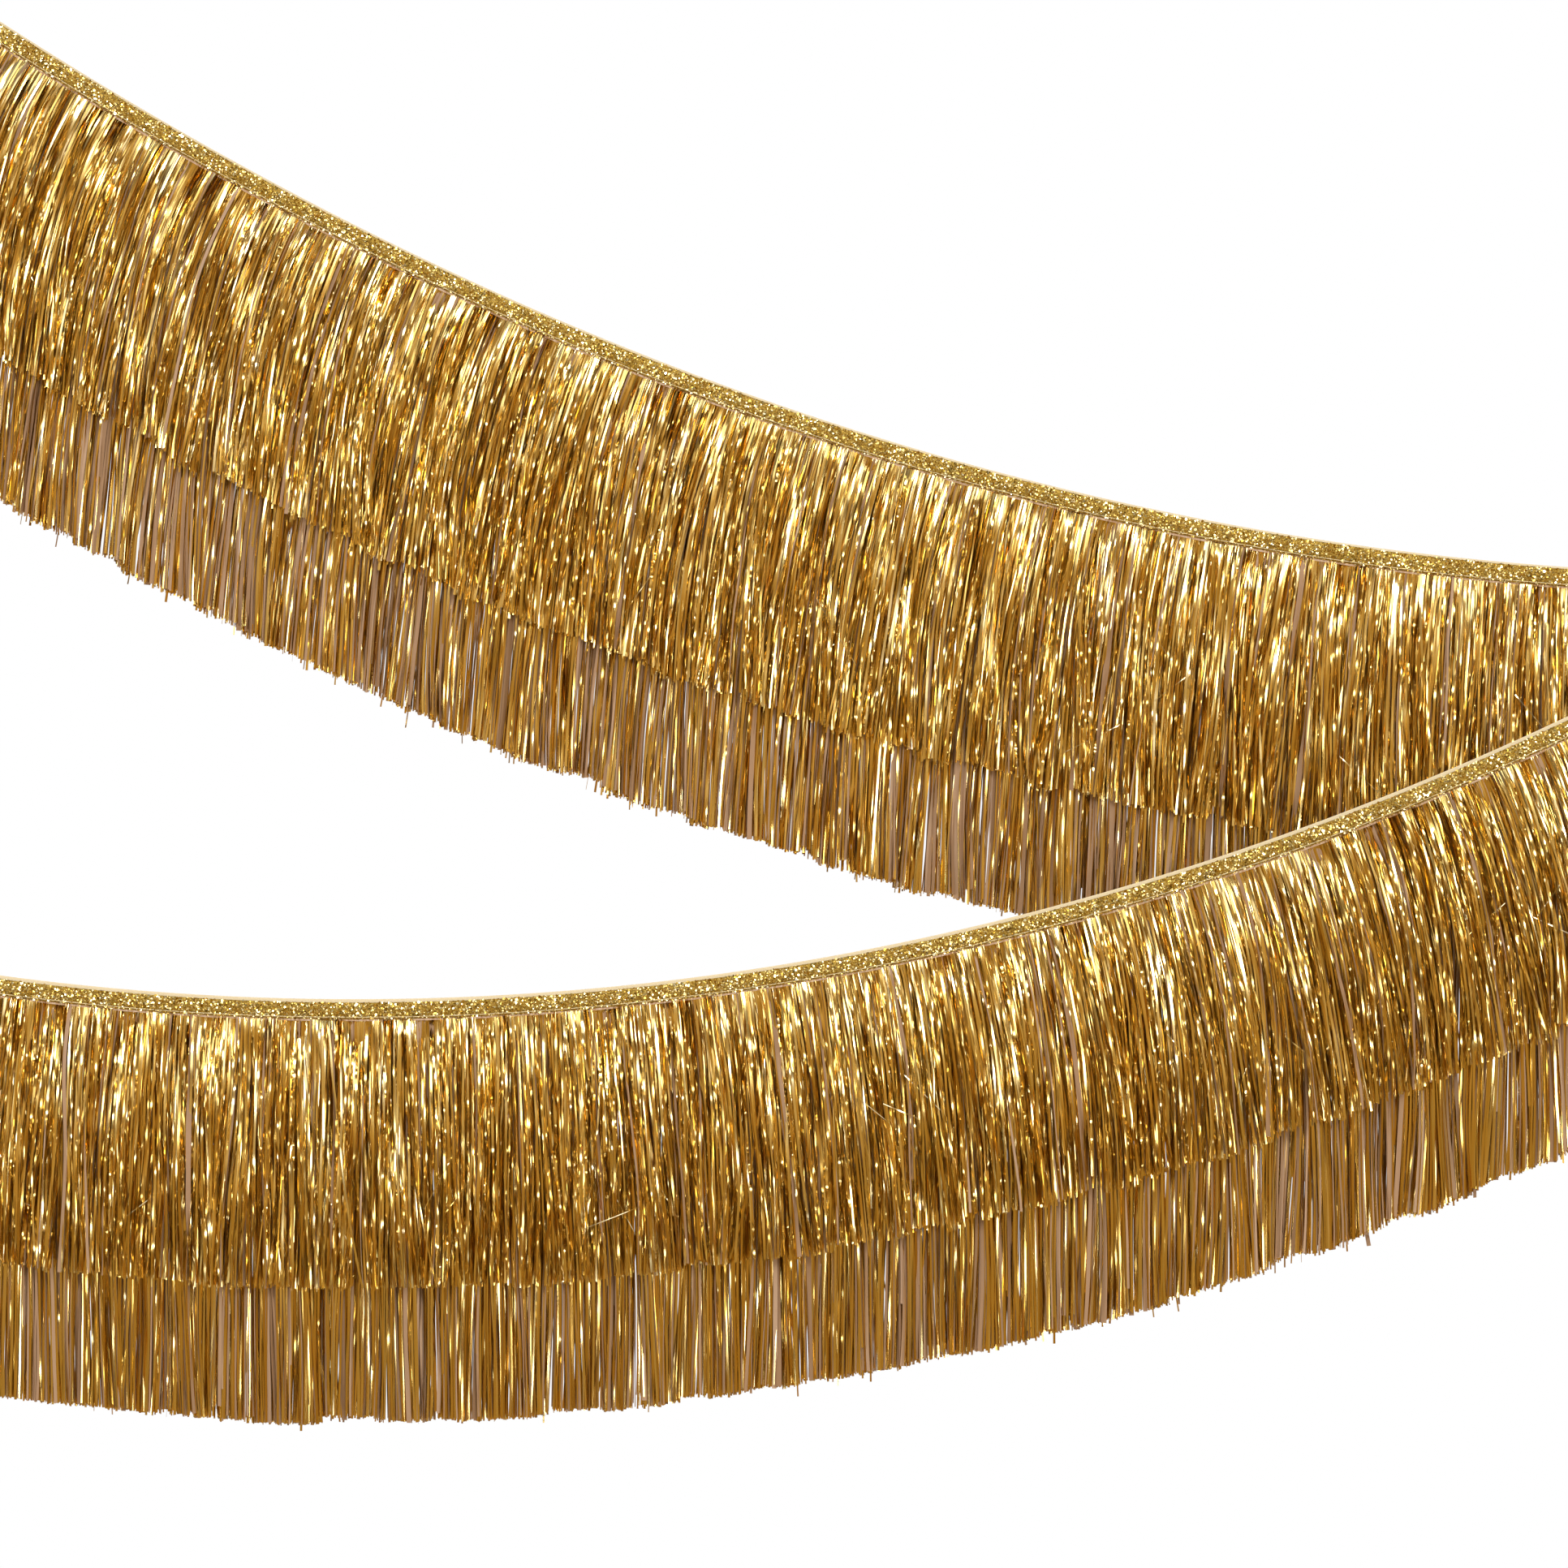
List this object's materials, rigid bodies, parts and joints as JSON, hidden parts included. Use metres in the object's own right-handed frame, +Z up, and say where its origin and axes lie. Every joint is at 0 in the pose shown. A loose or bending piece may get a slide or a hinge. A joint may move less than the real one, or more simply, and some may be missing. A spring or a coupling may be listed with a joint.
{
  "type": "tinsel fringe garland",
  "caption": "Metallic tinsel fringe in a short front tier and a long back tier, sewn under a flat glitter ribbon that hangs in crossing swags from ribbon loops.",
  "frame": {"origin": "where the hook bears inside the eye of the upper swag's left loop", "axes": "+X along the garland to the right as seen from the front, +Z up, -Y towards the viewer"},
  "size_m": [0.9367, 0.0704, 0.7473],
  "materials": {
    "glitter_ribbon": "coarse gold glitter bonded to a woven ribbon",
    "backing_tape": "cream woven tape",
    "film": "metallised film, gold lacquer",
    "thread": "pale gold sewing thread",
    "front_fringe": "mirror-bright metallised film strands",
    "back_fringe": "mirror-bright metallised film strands"
  },
  "bodies": {
    "loops": {"upper_left_loop": "glitter_ribbon", "upper_left_bar_tack": "thread", "upper_right_loop": "glitter_ribbon", "upper_right_bar_tack": "thread", "lower_left_loop": "glitter_ribbon", "lower_left_bar_tack": "thread", "lower_right_loop": "glitter_ribbon", "lower_right_bar_tack": "thread"},
    "upper_header": {"upper_needle_thread": "thread", "upper_glitter_ribbon": "glitter_ribbon", "upper_front_header": "film", "upper_back_header": "film", "upper_backing_tape": "backing_tape", "upper_bobbin_thread": "thread"},
    "upper_back_bay_1": {"upper_back_fringe_1": "back_fringe"},
    "upper_front_bay_1": {"upper_front_fringe_1": "front_fringe"},
    "upper_back_bay_2": {"upper_back_fringe_2": "back_fringe"},
    "upper_front_bay_2": {"upper_front_fringe_2": "front_fringe"},
    "upper_back_bay_3": {"upper_back_fringe_3": "back_fringe"},
    "upper_front_bay_3": {"upper_front_fringe_3": "front_fringe"},
    "upper_back_bay_4": {"upper_back_fringe_4": "back_fringe"},
    "upper_front_bay_4": {"upper_front_fringe_4": "front_fringe"},
    "upper_back_bay_5": {"upper_back_fringe_5": "back_fringe"},
    "upper_front_bay_5": {"upper_front_fringe_5": "front_fringe"},
    "upper_back_bay_6": {"upper_back_fringe_6": "back_fringe"},
    "upper_front_bay_6": {"upper_front_fringe_6": "front_fringe"},
    "lower_header": {"lower_needle_thread": "thread", "lower_glitter_ribbon": "glitter_ribbon", "lower_front_header": "film", "lower_back_header": "film", "lower_backing_tape": "backing_tape", "lower_bobbin_thread": "thread"},
    "lower_back_bay_1": {"lower_back_fringe_1": "back_fringe"},
    "lower_front_bay_1": {"lower_front_fringe_1": "front_fringe"},
    "lower_back_bay_2": {"lower_back_fringe_2": "back_fringe"},
    "lower_front_bay_2": {"lower_front_fringe_2": "front_fringe"},
    "lower_back_bay_3": {"lower_back_fringe_3": "back_fringe"},
    "lower_front_bay_3": {"lower_front_fringe_3": "front_fringe"},
    "lower_back_bay_4": {"lower_back_fringe_4": "back_fringe"},
    "lower_front_bay_4": {"lower_front_fringe_4": "front_fringe"},
    "lower_back_bay_5": {"lower_back_fringe_5": "back_fringe"},
    "lower_front_bay_5": {"lower_front_fringe_5": "front_fringe"},
    "lower_back_bay_6": {"lower_back_fringe_6": "back_fringe"},
    "lower_front_bay_6": {"lower_front_fringe_6": "front_fringe"}
  },
  "joints": [
    {"name": "upper_swag_swing", "type": "hinge", "parent": "loops", "child": "upper_header", "pos_m": [0.4545, 0.00015, -0.16808], "axis": [-0.9447, 0, 0.3281], "range_deg": [-20, 8]},
    {"name": "upper_back_1_swing", "type": "hinge", "parent": "upper_header", "child": "upper_back_bay_1", "pos_m": [0.09348, 0.00019, -0.06539], "axis": [-0.8545, 0, 0.5195], "range_deg": [-25, 0]},
    {"name": "upper_front_1_lift", "type": "hinge", "parent": "upper_header", "child": "upper_front_bay_1", "pos_m": [0.09348, -0.001, -0.06539], "axis": [-0.8545, 0, 0.5195], "range_deg": [0, 30]},
    {"name": "upper_back_2_swing", "type": "hinge", "parent": "upper_header", "child": "upper_back_bay_2", "pos_m": [0.22552, 0.00019, -0.13896], "axis": [-0.8918, 0, 0.4524], "range_deg": [-25, 0]},
    {"name": "upper_front_2_lift", "type": "hinge", "parent": "upper_header", "child": "upper_front_bay_2", "pos_m": [0.22552, -0.001, -0.13896], "axis": [-0.8918, 0, 0.4524], "range_deg": [0, 30]},
    {"name": "upper_back_3_swing", "type": "hinge", "parent": "upper_header", "child": "upper_back_bay_3", "pos_m": [0.36304, 0.00019, -0.20172], "axis": [-0.9264, 0, 0.3766], "range_deg": [-25, 0]},
    {"name": "upper_front_3_lift", "type": "hinge", "parent": "upper_header", "child": "upper_front_bay_3", "pos_m": [0.36304, -0.001, -0.20172], "axis": [-0.9264, 0, 0.3766], "range_deg": [0, 30]},
    {"name": "upper_back_4_swing", "type": "hinge", "parent": "upper_header", "child": "upper_back_bay_4", "pos_m": [0.50547, 0.00019, -0.2524], "axis": [-0.9563, 0, 0.2925], "range_deg": [-25, 0]},
    {"name": "upper_front_4_lift", "type": "hinge", "parent": "upper_header", "child": "upper_front_bay_4", "pos_m": [0.50547, -0.001, -0.2524], "axis": [-0.9563, 0, 0.2925], "range_deg": [0, 30]},
    {"name": "upper_back_5_swing", "type": "hinge", "parent": "upper_header", "child": "upper_back_bay_5", "pos_m": [0.65197, 0.00019, -0.28978], "axis": [-0.9796, 0, 0.2009], "range_deg": [-25, 0]},
    {"name": "upper_front_5_lift", "type": "hinge", "parent": "upper_header", "child": "upper_front_bay_5", "pos_m": [0.65197, -0.001, -0.28978], "axis": [-0.9796, 0, 0.2009], "range_deg": [0, 10]},
    {"name": "upper_back_6_swing", "type": "hinge", "parent": "upper_header", "child": "upper_back_bay_6", "pos_m": [0.80139, 0.00019, -0.31288], "axis": [-0.9946, 0, 0.1039], "range_deg": [-25, 0]},
    {"name": "upper_front_6_lift", "type": "hinge", "parent": "upper_header", "child": "upper_front_bay_6", "pos_m": [0.80139, -0.001, -0.31288], "axis": [-0.9946, 0, 0.1039], "range_deg": [0, 10]},
    {"name": "lower_swag_swing", "type": "hinge", "parent": "loops", "child": "lower_header", "pos_m": [0.454, -0.05985, -0.45019], "axis": [-0.9867, 0, -0.1624], "range_deg": [-12, 20]},
    {"name": "lower_back_1_swing", "type": "hinge", "parent": "lower_header", "child": "lower_back_bay_1", "pos_m": [0.10678, -0.05981, -0.53177], "axis": [-0.9954, 0, 0.0961], "range_deg": [-15, 0]},
    {"name": "lower_front_1_lift", "type": "hinge", "parent": "lower_header", "child": "lower_front_bay_1", "pos_m": [0.10678, -0.061, -0.53177], "axis": [-0.9954, 0, 0.0961], "range_deg": [0, 30]},
    {"name": "lower_back_2_swing", "type": "hinge", "parent": "lower_header", "child": "lower_back_bay_2", "pos_m": [0.25043, -0.05981, -0.53798], "axis": [-1, 0, -0.0099], "range_deg": [-15, 0]},
    {"name": "lower_front_2_lift", "type": "hinge", "parent": "lower_header", "child": "lower_front_bay_2", "pos_m": [0.25043, -0.061, -0.53798], "axis": [-1, 0, -0.0099], "range_deg": [0, 30]},
    {"name": "lower_back_3_swing", "type": "hinge", "parent": "lower_header", "child": "lower_back_bay_3", "pos_m": [0.39394, -0.05981, -0.52892], "axis": [-0.9933, 0, -0.1156], "range_deg": [-15, 0]},
    {"name": "lower_front_3_lift", "type": "hinge", "parent": "lower_header", "child": "lower_front_bay_3", "pos_m": [0.39394, -0.061, -0.52892], "axis": [-0.9933, 0, -0.1156], "range_deg": [0, 30]},
    {"name": "lower_back_4_swing", "type": "hinge", "parent": "lower_header", "child": "lower_back_bay_4", "pos_m": [0.5357, -0.05981, -0.50491], "axis": [-0.9761, 0, -0.2175], "range_deg": [-15, 0]},
    {"name": "lower_front_4_lift", "type": "hinge", "parent": "lower_header", "child": "lower_front_bay_4", "pos_m": [0.5357, -0.061, -0.50491], "axis": [-0.9761, 0, -0.2175], "range_deg": [0, 30]},
    {"name": "lower_back_5_swing", "type": "hinge", "parent": "lower_header", "child": "lower_back_bay_5", "pos_m": [0.6743, -0.05981, -0.46669], "axis": [-0.9498, 0, -0.3128], "range_deg": [-15, 0]},
    {"name": "lower_front_5_lift", "type": "hinge", "parent": "lower_header", "child": "lower_front_bay_5", "pos_m": [0.6743, -0.061, -0.46669], "axis": [-0.9498, 0, -0.3128], "range_deg": [0, 30]},
    {"name": "lower_back_6_swing", "type": "hinge", "parent": "lower_header", "child": "lower_back_bay_6", "pos_m": [0.8086, -0.05981, -0.41537], "axis": [-0.9167, 0, -0.3995], "range_deg": [-15, 0]},
    {"name": "lower_front_6_lift", "type": "hinge", "parent": "lower_header", "child": "lower_front_bay_6", "pos_m": [0.8086, -0.061, -0.41537], "axis": [-0.9167, 0, -0.3995], "range_deg": [0, 30]}
  ]
}
